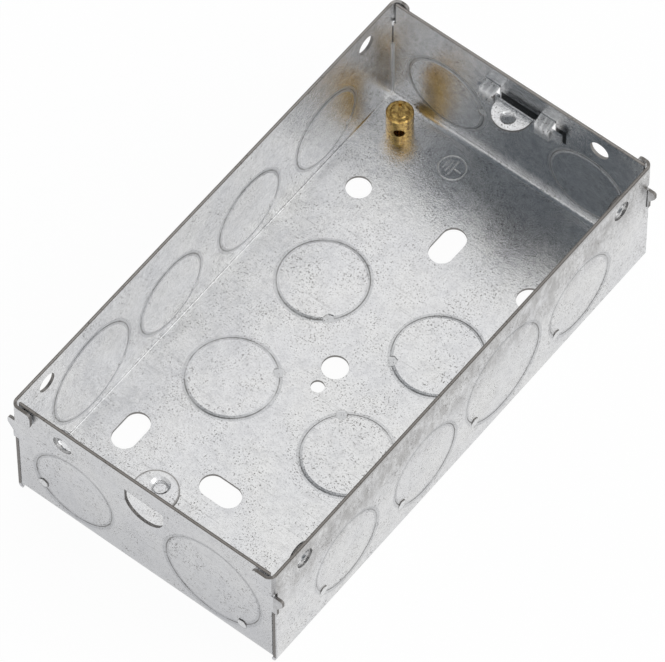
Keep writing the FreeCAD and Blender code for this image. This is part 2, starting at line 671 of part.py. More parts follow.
def sliding_lug():
    body = doc.addObject("PartDesign::Body", "sliding_lug_blank")
    x = "Sizes.sliding_lug_x"
    half = "(Sizes.sliding_lug_width / 2)"
    strip = sketch_on(body, "strip_outline", "XZ_Plane", minus(f"({STRIP_BACK} - {SHEET} / 2)"))
    bend_outer = f"(Sizes.lug_bend_radius + {SHEET})"
    bend_start = f"({LUG_TOP} - {bend_outer})"
    left = f"{x} + Sizes.strip_shift - Sizes.strip_length / 2"
    right = f"{x} + Sizes.strip_shift + Sizes.strip_length / 2"
    relief_left = f"{x} - {half} - Sizes.strip_relief"
    relief_right = f"{x} + {half} + Sizes.strip_relief"
    outline(strip, [
        (left, STRIP_BOTTOM), (right, STRIP_BOTTOM), (right, STRIP_TOP),
        (relief_right, STRIP_TOP), (relief_right, bend_start), (relief_left, bend_start),
        (relief_left, STRIP_TOP), (left, STRIP_TOP)])
    extrude(body, "Pad", "strip", strip, SHEET)

    bend = sketch_on(body, "sliding_lug_bend_section", "YZ_Plane", x)
    front = f"({STRIP_BACK} - {SHEET})"
    flat = f"({STRIP_BACK} - {bend_outer})"
    outline(bend, [
        (STRIP_BACK, f"{bend_start} - {SHEET}"),
        (STRIP_BACK, bend_start, (flat, bend_start, 1)), (flat, LUG_TOP),
        (flat, f"{LUG_TOP} - {SHEET}", (flat, bend_start, -1)), (front, bend_start),
        (front, f"{bend_start} - {SHEET}")])
    extrude(body, "Pad", "sliding_lug_bend", bend, "Sizes.sliding_lug_width")
    tab_plan(body, "sliding_lug", x, 1, flat,
             f"({HALF_LENGTH} - {SHEET} - Sizes.sliding_lug_nose - Sizes.strip_wall_gap)", half)
    doc.recompute()
    collar, thread = plunged_thread("sliding_lug_thread", x, LUG_Y, "Sizes.sliding_lug_entry")
    return cut("sliding_lug", joined("sliding_lug_with_collar", [body, collar]), thread)


# The earth terminal: a turned pillar riveted through the base, and its clamping screw

def on_terminal_place(body):
    turn = FreeCAD.Rotation(FreeCAD.Vector(0, 0, 1), value_of("Sizes.terminal_turn"))
    place(body, (TERMINAL_X, TERMINAL_Y, "0"), turn)
    return body


def earth_terminal():
    body = doc.addObject("PartDesign::Body", "earth_terminal")
    profile = sketch_on(body, "pillar_profile", "XZ_Plane")
    radius = "Sizes.terminal_radius"
    top = TERMINAL_TOP
    outline(profile, [
        ("0", "0"), ("Sizes.spigot_radius + Sizes.spigot_swage", "0"),
        ("Sizes.spigot_radius", "Sizes.spigot_swage"), ("Sizes.spigot_radius", SHEET),
        (radius, SHEET), (radius, f"{top} - Sizes.terminal_edge"),
        (f"{radius} - Sizes.terminal_edge", top), ("0", top)])
    pillar = body.newObject("PartDesign::Revolution", "pillar")
    pillar.Profile = profile
    pillar.ReferenceAxis = (profile, ["V_Axis"])
    pillar.Angle = 360

    wire = sketch_on(body, "wire_hole_outline", "XZ_Plane")
    round_hole(wire, "0", WIRE_HOLE_RISE, "Sizes.wire_hole_radius")
    extrude(body, "Pocket", "wire_hole", wire, f"4 * {radius}")

    bore_bottom = WIRE_HOLE_RISE
    bore = sketch_on(body, "screw_bore_outline", "XY_Plane", f"({bore_bottom} + {top} + {SHEET}) / 2")
    round_hole(bore, "0", "0", "Sizes.screw_radius + Sizes.screw_clearance")
    extrude(body, "Pocket", "screw_bore", bore, f"{top} + {SHEET} - {bore_bottom}")
    return on_terminal_place(body)


def terminal_screw():
    body = doc.addObject("PartDesign::Body", "terminal_screw")
    profile = sketch_on(body, "screw_profile", "XZ_Plane")
    head = f"({TERMINAL_TOP} + Sizes.screw_proud)"
    foot = f"({head} - Sizes.screw_length)"
    radius = "Sizes.screw_radius"
    edge = "Sizes.screw_edge"
    outline(profile, [
        ("0", foot), (f"{radius} - {edge}", foot), (radius, f"{foot} + {edge}"),
        (radius, f"{head} - {edge}"), (f"{radius} - {edge}", head), ("0", head)])
    shank = body.newObject("PartDesign::Revolution", "shank")
    shank.Profile = profile
    shank.ReferenceAxis = (profile, ["V_Axis"])
    shank.Angle = 360

    groove = sketch_on(body, "slot_outline", "XZ_Plane")
    half = "Sizes.screw_slot_width / 2"
    outline(groove, [
        (f"-1 * {half}", f"{head} - Sizes.screw_slot_depth"), (half, f"{head} - Sizes.screw_slot_depth"),
        (half, f"{head} + {SHEET}"), (f"-1 * {half}", f"{head} + {SHEET}")])
    extrude(body, "Pocket", "driver_slot", groove, f"4 * {radius}")
    return on_terminal_place(body)


def check(items):
    for item in doc.Objects:
        faults = [state for state in item.State if state in ("Invalid", "Error")]
        if faults:
            raise RuntimeError(f"{item.Name} is {faults}")
    for item in items:
        shape = item.Shape
        if shape.isNull() or not shape.isValid():
            raise RuntimeError(f"{item.Label} has no valid shape")
        print(item.Label, "solids", len(shape.Solids), "volume", round(shape.Volume, 1))


sub_parts = [box_body(), sliding_lug(), earth_terminal(), terminal_screw()]
doc.recompute()
check(sub_parts)
os.makedirs("parts", exist_ok=True)
for sub_part in sub_parts:
    sub_part.Shape.exportStep(f"parts/{sub_part.Label}.step")
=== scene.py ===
# %% [markdown]
# A steel back box for a double wiring accessory
#
# The real object is one folded sheet of zinc coated steel, with a lug that slides along its far
# wall and a small brass earth terminal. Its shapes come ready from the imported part. This lesson
# gives them their surfaces, adds what is finer than the solids, and sets up light and camera.

import math

import bmesh
import bpy
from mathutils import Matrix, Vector


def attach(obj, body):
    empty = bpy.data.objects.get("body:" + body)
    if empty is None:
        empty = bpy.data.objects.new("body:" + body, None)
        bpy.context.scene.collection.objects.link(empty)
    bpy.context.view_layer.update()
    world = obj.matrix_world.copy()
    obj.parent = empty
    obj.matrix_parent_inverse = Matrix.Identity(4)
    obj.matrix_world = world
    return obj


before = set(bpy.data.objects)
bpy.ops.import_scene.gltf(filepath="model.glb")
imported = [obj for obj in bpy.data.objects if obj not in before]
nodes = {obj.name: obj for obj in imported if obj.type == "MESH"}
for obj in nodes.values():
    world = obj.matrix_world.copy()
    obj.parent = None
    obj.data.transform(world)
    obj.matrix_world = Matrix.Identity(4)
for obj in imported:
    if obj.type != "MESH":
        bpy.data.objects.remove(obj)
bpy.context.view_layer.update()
MM = 0.001
print("nodes:", sorted(nodes))

# %% [markdown]
# The sizes that the surfaces need
#
# The sheared rings round the knockouts and the pressed rings round the wall holes are drawn in the
# zinc's material, so their places are needed here, in millimetres. Each ring has the middle of its
# disc, the disc's radius and the turn of the one bridge that still holds it.

# %% Places on the box, in millimetres
HALF_X, HALF_Y, DEPTH, SHEET = 35.75, 66.0, 35.5, 0.75
SMALL_RING, LARGE_RING = 10.3, 12.7
SMALL_RISE, LARGE_RISE = 14.0, 16.4
SIDE_ROWS = (-41.2, -13.8, 13.8, 41.2)
LUG_HOLE_R, LUG_HOLE_TOP, LUG_HOLE_FOOT = 1.65, 28.85, 27.4
LUG_TOP, LUG_HALF_WIDTH, LUG_NOSE_Y = 29.5, 5.3, -62.0
LOOP_MIDDLE, LOOP_HALF_HEIGHT, LOOP_CENTRES, LOOP_HALF_WIDTH = 27.7, 2.1, (-7.0, 8.4), 1.95
BRIDGE_RADIUS = 1.3
WALL_HOLE_RISE, SIDE_HOLE_Y, END_HOLE_X = 30.3, 55.7, 22.4
COINED_RADIUS = 3.9
FIXED_LUG = (0.0, -60.3)
SLIDING_LUG = (1.0, 60.3)
print("knockouts in each side wall:", len(SIDE_ROWS))

# %% [markdown]
# Small helpers for shader trees
#
# A procedural material is a tree of small sums. These helpers add one sum each and join its
# inputs, so that a finish can be read as a list of what happens to the metal.

# %% Shader helpers
def new_material(name):
    material = bpy.data.materials.new(name)
    material.use_nodes = True
    tree = material.node_tree
    shader = tree.nodes["Principled BSDF"]
    return material, tree, shader


def feed(tree, socket, value):
    if isinstance(value, bpy.types.NodeSocket):
        tree.links.new(value, socket)
    else:
        socket.default_value = value


def math_node(tree, operation, *values, clamp=False):
    node = tree.nodes.new("ShaderNodeMath")
    node.operation = operation
    node.use_clamp = clamp
    for socket, value in zip(node.inputs, values):
        feed(tree, socket, value)
    return node.outputs[0]


def ramp(tree, value, low, high, start=0.0, end=1.0, smooth=True):
    node = tree.nodes.new("ShaderNodeMapRange")
    node.interpolation_type = "SMOOTHSTEP" if smooth else "LINEAR"
    for socket, number in zip(node.inputs, (value, low, high, start, end)):
        feed(tree, socket, number)
    return node.outputs[0]


def colour_mix(tree, amount, first, second, blend="MIX"):
    node = tree.nodes.new("ShaderNodeMix")
    node.data_type = "RGBA"
    node.blend_type = blend
    feed(tree, node.inputs[0], amount)
    feed(tree, node.inputs[6], first)
    feed(tree, node.inputs[7], second)
    return node.outputs[2]


def noise(tree, coords, size_mm, detail=2.0, rough=0.5, stretch=(1, 1, 1), turn=(0, 0, 0)):
    mapping = tree.nodes.new("ShaderNodeMapping")
    mapping.inputs["Rotation"].default_value = turn
    mapping.inputs["Scale"].default_value = stretch
    tree.links.new(coords, mapping.inputs["Vector"])
    node = tree.nodes.new("ShaderNodeTexNoise")
    node.inputs["Scale"].default_value = 1.0 / (size_mm * MM)
    node.inputs["Detail"].default_value = detail
    node.inputs["Roughness"].default_value = rough
    tree.links.new(mapping.outputs[0], node.inputs["Vector"])
    return node.outputs["Fac"]


def object_coords(tree):
    return tree.nodes.new("ShaderNodeTexCoord").outputs["Object"]


def split(tree, vector):
    node = tree.nodes.new("ShaderNodeSeparateXYZ")
    tree.links.new(vector, node.inputs[0])
    return node.outputs


def inside(tree, value, low, high, soft):
    # One between low and high, fading to nothing over a soft edge outside them.
    rising = ramp(tree, value, low - soft, low)
    falling = ramp(tree, value, high, high + soft, 1.0, 0.0)
    return math_node(tree, "MULTIPLY", rising, falling)


def between(tree, value, low, high):
    # The same with nearly hard ends, for places given in millimetres.
    return inside(tree, value, low * MM, high * MM, 0.04 * MM)


def every(tree, gates):
    # Gates that all have to be open.
    result = gates[0]
    for gate in gates[1:]:
        result = math_node(tree, "MULTIPLY", result, gate)
    return result


def largest(tree, values):
    # The greatest of several masks, so that marks join without adding up.
    result = values[0]
    for value in values[1:]:
        result = math_node(tree, "MAXIMUM", result, value)
    return result


print("shader helpers ready")

# %% [markdown]
# Rings seen flat on one face
#
# A knockout is sheared along a circle, and the shear line reads as a thin dark ring with a break
# at its bridge. On a flat wall the distance from the ring's middle is all that is needed: the ring
# is where that distance is close to the radius. The line is left out near the bridge's middle.

# %% Ring helper
def distance_from(tree, across, up, middle):
    dx = math_node(tree, "SUBTRACT", across, middle[0] * MM)
    dy = math_node(tree, "SUBTRACT", up, middle[1] * MM)
    return math_node(tree, "SQRT", math_node(tree, "ADD", math_node(tree, "MULTIPLY", dx, dx),
                                             math_node(tree, "MULTIPLY", dy, dy)))


def line_at(tree, distance, radius, width):
    off = math_node(tree, "ABSOLUTE", math_node(tree, "SUBTRACT", distance, radius * MM))
    return ramp(tree, off, width * 0.4 * MM, width * MM, 1.0, 0.0)


def ring_mask(tree, across, up, middle, radius, width, bridge):
    # The dark shear line, left out where the bridge is, whose own edge is a fainter round line.
    ring = line_at(tree, distance_from(tree, across, up, middle), radius, width)
    bridge_middle = (middle[0] + radius * math.cos(bridge), middle[1] + radius * math.sin(bridge))
    from_bridge = distance_from(tree, across, up, bridge_middle)
    ring = math_node(tree, "MULTIPLY", ring,
                     ramp(tree, from_bridge, (BRIDGE_RADIUS - 0.2) * MM, BRIDGE_RADIUS * MM))
    edge = math_node(tree, "MULTIPLY", line_at(tree, from_bridge, BRIDGE_RADIUS, 0.2), 0.3)
    return math_node(tree, "MAXIMUM", ring, edge)


print("ring helper ready")

# %% [markdown]
# Where the rings are
#
# Every knockout is listed once with the face it belongs to. The two coordinates that lie in the
# face are used for the ring, and a mask keeps the ring on that wall alone.

# %% Knockouts by face
FACES = {
    "left": ("x", -HALF_X), "right": ("x", HALF_X),
    "near": ("y", -HALF_Y), "far": ("y", HALF_Y), "base": ("z", SHEET),
}
KNOCKOUTS = []
for row, radius in zip(SIDE_ROWS, (LARGE_RING, SMALL_RING, SMALL_RING, SMALL_RING)):
    KNOCKOUTS.append(("left", row, radius, math.radians(180 - 218)))
for row, radius in zip(SIDE_ROWS, (SMALL_RING, SMALL_RING, LARGE_RING, SMALL_RING)):
    KNOCKOUTS.append(("right", row, radius, math.radians(218)))
KNOCKOUTS += [
    ("near", -19.8, SMALL_RING, math.radians(212)),
    ("near", 18.6, LARGE_RING, math.radians(-52)),
    ("far", -19.8, SMALL_RING, math.radians(180 - 170)),
    ("far", 19.8, SMALL_RING, math.radians(180 - 170)),
]
BASE_RINGS = [(x * 16.1, y * 16.2) for x in (-1, 1) for y in (-1, 1)]
print("wall knockouts:", len(KNOCKOUTS), "base knockouts:", len(BASE_RINGS))

# %% [markdown]
# The zinc coated sheet
#
# Hot dip zinc is a bright metal with a cloudy, slightly blue and warm mottle. Where it is cut,
# rubbed or pressed it looks different, so each of those finishes has its own colour here.

# %% Zinc colours
ZINC = ((0.79, 0.795, 0.81, 1), (0.85, 0.85, 0.845, 1))
ZINC_LIGHT = (0.92, 0.925, 0.93, 1)
ZINC_DULL = (0.58, 0.585, 0.60, 1)
SPECK = (0.11, 0.10, 0.09, 1)
SHEAR = (0.12, 0.115, 0.11, 1)
BAND = (0.45, 0.46, 0.48, 1)
CUT_EDGE = (0.19, 0.176, 0.163, 1)
RIGHT_WALL_DARK = (0.30, 0.29, 0.28, 1)
NEAR_WALL_SHADE = (0.36, 0.37, 0.40, 1)
GAP_DARK = (0.01, 0.01, 0.01, 1)
TORN_RIM = (0.48, 0.455, 0.43, 1)
RUB = (0.45, 0.45, 0.45, 1)
SIGN_ZINC = ((0.68, 0.69, 0.70, 1), (0.92, 0.92, 0.92, 1))
print("zinc colours ready")

# %% [markdown]
# Specks and scratches
#
# The coating carries thousands of fine dark specks that gather in clusters, and faint rubs from
# handling. All of it is procedural, on the object's own coordinates, so the grain runs on over the
# folds and doesn't slide in other views.

# %% Specks and scratches
def specks(tree, coords):
    # Fine dark specks in clusters, with a few coarser ones anywhere.
    patches = ramp(tree, noise(tree, coords, 9.0, detail=5.0, rough=0.7), 0.40, 0.62)
    fine = ramp(tree, noise(tree, coords, 0.40, detail=3.0, rough=0.65), 0.56, 0.64)
    coarse = ramp(tree, noise(tree, coords, 0.8, detail=2.0, rough=0.75), 0.63, 0.69)
    depth = ramp(tree, patches, 0.0, 1.0, 0.18, 0.88, smooth=False)
    return math_node(tree, "MULTIPLY", largest(tree, [fine, coarse]), depth)


def scratches(tree, coords):
    # Long thin rubs that run in three directions.
    marks = []
    for angle, size in ((0.45, 0.5), (1.25, 0.4), (2.3, 0.45)):
        marks.append(noise(tree, coords, size, detail=1.0, stretch=(0.022, 1.0, 1.0),
                           turn=(0, 0, angle)))
    where = ramp(tree, noise(tree, coords, 14.0, detail=2.0), 0.42, 0.60)
    return math_node(tree, "MULTIPLY", ramp(tree, largest(tree, marks), 0.68, 0.75), where)


print("specks and scratches ready")

# %% [markdown]
# Marks along the knockouts
#
# The press shears each disc nearly free and rolls a narrow band along the cut. Where it leaves a
# bridge, the metal is squeezed flat. The marks are drawn round every knockout from the one list
# above, and a gate keeps each of them on its own wall.

# %% Marks along the knockouts
def on_each_face(tree, x, y, z, mark):
    # The mark round each face's knockouts, kept to within 0.3 mm of that face's sheet.
    marks = []
    for face, (axis, place) in FACES.items():
        across = x if axis in ("y", "z") else y
        up = y if axis == "z" else z
        if face == "base":
            rings = [mark(across, up, middle, SMALL_RING, math.atan2(-middle[1], -middle[0]))
                     for middle in BASE_RINGS]
        else:
            rings = [mark(across, up, (row, LARGE_RISE if radius == LARGE_RING else SMALL_RISE),
                          radius, bridge)
                     for wall, row, radius, bridge in KNOCKOUTS if wall == face]
        low, high = sorted((place, place - math.copysign(SHEET, place)))
        here = {"x": x, "y": y, "z": z}[axis]
        on_face = inside(tree, here, (low - 0.3) * MM, (high + 0.3) * MM, 0.05 * MM)
        marks.append(math_node(tree, "MULTIPLY", largest(tree, rings), on_face))
    return largest(tree, marks)


def shear_lines(tree, coords, x, y, z):
    # Some stretches of the shear line are tight and hardly show.
    worn = ramp(tree, noise(tree, coords, 6.0, detail=3.0, rough=0.6), 0.36, 0.56, 0.35, 1.0)
    lines = on_each_face(tree, x, y, z, lambda across, up, middle, radius, bridge: ring_mask(
        tree, across, up, middle, radius + 0.15, 0.19, bridge))
    return math_node(tree, "MULTIPLY", lines, worn)


def rolled_bands(tree, x, y, z):
    # The band that the press rolled along each shear line, most of it outside the ring.
    return on_each_face(tree, x, y, z, lambda across, up, middle, radius, bridge: inside(
        tree, distance_from(tree, across, up, middle), (radius - 0.45) * MM, (radius + 0.85) * MM,
        0.12 * MM))


def bridge_pads(tree, x, y, z):
    # Each bridge was pressed flat, which leaves a small pale pad across the ring.
    return on_each_face(tree, x, y, z, lambda across, up, middle, radius, bridge: ramp(
        tree, distance_from(tree, across, up, (middle[0] + radius * math.cos(bridge),
                                               middle[1] + radius * math.sin(bridge))),
        (BRIDGE_RADIUS - 0.3) * MM, BRIDGE_RADIUS * MM, 1.0, 0.0))


def band_borders(tree, x, y, z):
    # Where the rolled band runs out into the flat sheet of the walls.
    lines = on_each_face(tree, x, y, z, lambda across, up, middle, radius, bridge: line_at(
        tree, distance_from(tree, across, up, middle), radius + 0.95, 0.25))
    return math_node(tree, "MULTIPLY", lines, ramp(tree, z, 1.1 * MM, 1.2 * MM))


print("knockout marks ready")

# %% [markdown]
# Marks round the dished wall holes
#
# The wall holes of the right and near walls were pierced and then dished inwards. A pressed ring
# shows round each of them on the outer face, and the sheet dips from that ring towards the hole.

# %% Marks round the dished wall holes
def dished_hole_distances(tree, x, y, z):
    # How far a point of the right or near wall is from its wall hole's axis, with the wall's gate.
    # The right wall has one such hole near each end.
    side_away = math_node(tree, "SUBTRACT", math_node(tree, "ABSOLUTE", y), SIDE_HOLE_Y * MM)
    return [
        (distance_from(tree, side_away, z, (0.0, WALL_HOLE_RISE)),
         between(tree, x, HALF_X - 1.0, HALF_X + 0.1)),
        (distance_from(tree, x, z, (-END_HOLE_X, WALL_HOLE_RISE)),
         between(tree, y, -HALF_Y - 0.1, 1.0 - HALF_Y)),
    ]


def near_dished_holes(tree, x, y, z, mark):
    return largest(tree, [math_node(tree, "MULTIPLY", mark(away), gate)
                          for away, gate in dished_hole_distances(tree, x, y, z)])


def outer_face(tree, x, y):
    # Only the very skin of the right and near walls.
    return largest(tree, [ramp(tree, x, (HALF_X - 0.1) * MM, (HALF_X - 0.05) * MM),
                          ramp(tree, y, (0.1 - HALF_Y) * MM, (0.05 - HALF_Y) * MM)])


def lip_back_shade(tree, x, y, z):
    # Painted shade: the backs of the right wall's dished lips, inside the box, are painted dark.
    away = math_node(tree, "SUBTRACT", math_node(tree, "ABSOLUTE", y), SIDE_HOLE_Y * MM)
    from_axis = distance_from(tree, away, z, (0.0, WALL_HOLE_RISE))
    return every(tree, [between(tree, x, HALF_X - SHEET - 2.0, HALF_X - SHEET - 0.1),
                        between(tree, from_axis, 2.85, 3.7)])


print("wall hole marks ready")

# %% [markdown]
# Sheared edges and the rim
#
# A cut edge has no zinc on it, so it is brown and dull. It is found by its facing: on a wall, a
# face that looks along the sheet instead of out of it was made by shears. The rim is the longest of
# these edges, and its middle is paler where the metal tore.

# %% Sheared edges and the rim
def cut_edges(tree, x, y, z):
    # In order: holes and ends of the side walls, their lower ends beside the end walls, holes and
    # edges of the end walls, holes of the base, the fixed lug's edge, the tips of the ears, and the
    # tongues that reach out through the side walls. Inside the dished holes the edge is half bright.
    facing = split(tree, tree.nodes.new("ShaderNodeNewGeometry").outputs["True Normal"])
    across = [ramp(tree, math_node(tree, "ABSOLUTE", part), 0.35, 0.45, 1.0, 0.0) for part in facing]
    side, end = (math_node(tree, "ABSOLUTE", value) for value in (x, y))
    over_x = between(tree, side, HALF_X - SHEET - 0.05, HALF_X + 0.05)
    edges = largest(tree, [
        every(tree, [across[0], over_x, between(tree, end, -1.0, HALF_Y - 0.85),
                     between(tree, z, 1.4, DEPTH)]),
        every(tree, [across[0], over_x, between(tree, end, HALF_Y - 0.9, HALF_Y + 0.05),
                     between(tree, z, 1.4, 20.4)]),
        every(tree, [across[1], between(tree, end, HALF_Y - SHEET - 0.05, HALF_Y + 0.05),
                     between(tree, side, -1.0, HALF_X - 1.1), between(tree, z, 3.0, DEPTH)]),
        every(tree, [across[2], between(tree, z, -0.05, SHEET + 0.05),
                     between(tree, side, -1.0, HALF_X - 1.5), between(tree, end, -1.0, HALF_Y - 3.0)]),
        every(tree, [across[2], between(tree, z, LUG_TOP - SHEET - 0.05, LUG_TOP + 0.05),
                     between(tree, side, -1.0, LUG_HALF_WIDTH + 0.1),
                     between(tree, end, HALF_Y - 10.0, HALF_Y - 1.4)]),
        every(tree, [across[1], between(tree, end, HALF_Y + 0.35, HALF_Y + 1.2),
                     between(tree, side, -1.0, HALF_X - 2.1)]),
        every(tree, [across[1], between(tree, end, HALF_Y - SHEET - 0.05, HALF_Y + 0.05),
                     between(tree, side, HALF_X + 0.1, HALF_X + 3.0)]),
    ])
    clear = near_dished_holes(tree, x, y, z, lambda away: ramp(tree, away, 2.9 * MM, 3.0 * MM, 0.5, 0.0))
    return math_node(tree, "SUBTRACT", edges, clear, clamp=True)


def lug_outline(tree, x, y, z):
    # A dark line painted along the fixed lug's upper edge, round its nose and down its two sides: partly
    # the bare cut edge, partly painted shade for the shadow beneath the lug.
    nose = line_at(tree, distance_from(tree, x, y, (0.0, LUG_NOSE_Y)), LUG_HALF_WIDTH - 0.05, 0.42)
    nose = every(tree, [nose, between(tree, y, LUG_NOSE_Y, LUG_NOSE_Y + 6.0)])
    sides = every(tree, [line_at(tree, math_node(tree, "ABSOLUTE", x), LUG_HALF_WIDTH - 0.05, 0.42),
                         between(tree, y, -64.5, LUG_NOSE_Y)])
    return every(tree, [math_node(tree, "MAXIMUM", nose, sides),
                        between(tree, z, LUG_TOP - 0.1, LUG_TOP + 0.1)])


def corner_seam_highlights(tree, x, y, z):
    # Painted highlight: a lighter stripe along the inner corners, where the walls' ends meet, standing in
    # for the lit edge of the gap there.
    side, end = (math_node(tree, "ABSOLUTE", value) for value in (x, y))
    return every(tree, [between(tree, side, HALF_X - 1.35, HALF_X - 0.7),
                        between(tree, end, HALF_Y - 1.4, HALF_Y - 0.1), between(tree, z, 1.5, 20.0)])


def rim(tree, x, y, z):
    # The sheared top edge and the paler middle of its thickness, dullest on the near and right walls.
    top = ramp(tree, z, (DEPTH - 0.06) * MM, (DEPTH - 0.01) * MM)
    near = ramp(tree, y, -62.0 * MM, -64.0 * MM, 0.0, 1.0)
    right = ramp(tree, x, 33.0 * MM, 34.5 * MM)
    dull = largest(tree, [near, right])
    side, end = (math_node(tree, "ABSOLUTE", value) for value in (x, y))
    middle = largest(tree, [between(tree, side, HALF_X - 0.52, HALF_X - 0.24),
                            between(tree, end, HALF_Y - 0.52, HALF_Y - 0.24)])
    edge = math_node(tree, "MULTIPLY", top, ramp(tree, dull, 0.0, 1.0, 0.70, 0.95))
    pale = every(tree, [top, middle, ramp(tree, dull, 0.0, 1.0, 0.85, 0.55)])
    return edge, pale


print("edge marks ready")

# %% [markdown]
# Loops and the gap behind the slider
#
# The two loops that hold the sliding lug were lanced out of the far wall and pressed round over a
# ribbed punch. The strip behind them lies in a narrow gap that no light reaches.

# %% Loops and the gap behind the slider
def slider_shadow(tree, x, y, z):
    # The narrow gap between the slider's strip and the far wall, seen beside each loop.
    behind = math_node(tree, "MAXIMUM", between(tree, x, -4.6, 6.2), between(tree, x, 10.6, 13.4))
    return every(tree, [behind, between(tree, z, 24.3, 28.7),
                        between(tree, y, HALF_Y - 0.95, HALF_Y - 0.6)])


def loop_rounding(tree, x, y, z):
    # The loops were pressed round, so their flats are shaded as a barrel about X by the bump. The same mask
    # also paints them lighter, as a painted highlight.
    half_width = (LOOP_HALF_WIDTH + 0.1) * MM
    flats = largest(tree, [ramp(tree, math_node(
        tree, "ABSOLUTE", math_node(tree, "SUBTRACT", x, centre * MM)), half_width, half_width + 0.02 * MM,
        1.0, 0.0) for centre in LOOP_CENTRES])
    above = math_node(tree, "SUBTRACT", z, LOOP_MIDDLE * MM)
    rise = math_node(tree, "DIVIDE", above, LOOP_HALF_HEIGHT * MM)
    barrel = math_node(tree, "SUBTRACT", 1.0, math_node(tree, "MULTIPLY", rise, rise))
    on_loop = every(tree, [flats, between(tree, y, HALF_Y - 4.5, HALF_Y - 1.0),
                           between(tree, z, LOOP_MIDDLE - 3.4, LOOP_MIDDLE + 3.4)])
    ribs = math_node(tree, "SINE", math_node(tree, "MULTIPLY", x, 2 * math.pi / (1.5 * MM)))
    shape = math_node(tree, "ADD", math_node(tree, "MULTIPLY", barrel, 26.0),
                      math_node(tree, "MULTIPLY", ribs, 2.0))
    return on_loop, math_node(tree, "MULTIPLY", on_loop, shape)


print("loop marks ready")

# %% [markdown]
# Darker outer faces
#
# The two outer faces in the camera's view are darker than the inside. The right wall has cloudy darker
# patches towards its rim and a darker band under it, and the near wall has painted shade that deepens
# towards the base.

# %% Darker outer faces
def right_wall_darkening(tree, coords, x, z):
    # Cloudy darker patches on the right wall's outer face, stronger towards the rim, and a darker band just
    # under the rim.
    patchiness = noise(tree, coords, 4.0, detail=7.0, rough=0.8, stretch=(1.0, 1.0, 0.5))
    high = ramp(tree, z, 15.0 * MM, 30.0 * MM, 0.05, 1.0)
    outside = ramp(tree, x, (HALF_X - 0.55) * MM, (HALF_X - 0.45) * MM)
    side = every(tree, [high, outside, ramp(tree, patchiness, 0.36, 0.62, 0.08, 0.72)])
    under_rim = every(tree, [outside, ramp(tree, z, (DEPTH - 2.2) * MM, (DEPTH - 0.2) * MM, 0.0, 0.60)])
    return math_node(tree, "MAXIMUM", side, under_rim)


def near_shade(tree, y, z):
    # Painted shade: the near wall's outer face is painted darker than the rest, most of all low down.
    outside = ramp(tree, y, (0.45 - HALF_Y) * MM, (0.55 - HALF_Y) * MM, 1.0, 0.0)
    return math_node(tree, "MULTIPLY", outside, ramp(tree, z, 4.0 * MM, 24.0 * MM, 0.48, 0.30))


print("outer face marks ready")

# %% [markdown]
# All marks of the box and of the lug
#
# The marks are laid over the zinc one after another, from the broadest and faintest to the sharpest
# and darkest. Pressed and cut places are duller as well, so they raise the roughness, and the dips
# and loops add relief.

# %% All marks
def box_marks(tree, coords, base, x, y, z):
    rim_edge, rim_middle = rim(tree, x, y, z)
    bands = rolled_bands(tree, x, y, z)
    edges = cut_edges(tree, x, y, z)
    on_loop, loop_relief = loop_rounding(tree, x, y, z)
    corner_highlight = corner_seam_highlights(tree, x, y, z)
    pads = bridge_pads(tree, x, y, z)
    outer = outer_face(tree, x, y)
    coined = near_dished_holes(tree, x, y, z, lambda away: line_at(tree, away, COINED_RADIUS, 0.35))
    dished = near_dished_holes(tree, x, y, z, lambda away: ramp(
        tree, away, 2.3 * MM, (COINED_RADIUS - 0.1) * MM, -18.0, 0.0))
    marks = [
        # Darker patches and a darker band under the rim, on the right wall's outer face.
        (right_wall_darkening(tree, coords, x, z), 1.0, RIGHT_WALL_DARK),
        # Painted shade on the near wall's outer face.
        (near_shade(tree, y, z), 1.0, NEAR_WALL_SHADE),
        (math_node(tree, "MULTIPLY", coined, outer), 0.30, BAND),
        (band_borders(tree, x, y, z), 0.26, BAND),
        (math_node(tree, "MULTIPLY", bands, ramp(tree, z, 1.1 * MM, 1.2 * MM, 0.14, 0.30)), 1.0, BAND),
        # Painted highlight on the loops and along the inner corner seams, together with the bridges' real
        # pale pads.
        (largest(tree, [on_loop, corner_highlight, pads]), 0.7, ZINC_LIGHT),
        (shear_lines(tree, coords, x, y, z), 0.75, SHEAR),
        # Painted shade on the backs of the right wall's dished lips, in the shear lines' dark colour.
        (lip_back_shade(tree, x, y, z), 0.95, SHEAR),
        (edges, 0.85, CUT_EDGE),
        (lug_outline(tree, x, y, z), 0.70, CUT_EDGE),
        (slider_shadow(tree, x, y, z), 0.97, GAP_DARK),
        (rim_edge, 1.0, CUT_EDGE),
        (rim_middle, 0.8, TORN_RIM),
    ]
    for mask, strength, colour in marks:
        base = colour_mix(tree, math_node(tree, "MULTIPLY", mask, strength), base, colour)
    dull = largest(tree, [math_node(tree, "MULTIPLY", bands, 0.75), edges, rim_edge, on_loop, corner_highlight, pads])
    relief = math_node(tree, "ADD", math_node(tree, "MULTIPLY", dished, outer), loop_relief)
    return base, dull, relief


def lug_marks(tree, coords, base, x, y, z):
    facing = split(tree, tree.nodes.new("ShaderNodeNewGeometry").outputs["True Normal"])
    upright = ramp(tree, math_node(tree, "ABSOLUTE", facing[2]), 0.35, 0.45, 1.0, 0.0)
    edge = every(tree, [upright, between(tree, z, LUG_TOP - SHEET - 0.05, LUG_TOP + 0.05),
                        between(tree, y, HALF_Y - 10.0, HALF_Y - 3.4)])
    return colour_mix(tree, math_node(tree, "MULTIPLY", edge, 0.7), base, CUT_EDGE), edge, 0.0


print("marks joined")

# %% [markdown]
# The zinc material
#
# The mottle changes colour, shine and height together, as crystals in the coating do. Everything
# that shades the metal runs through one bump, with heights in units of the bump's own distance.

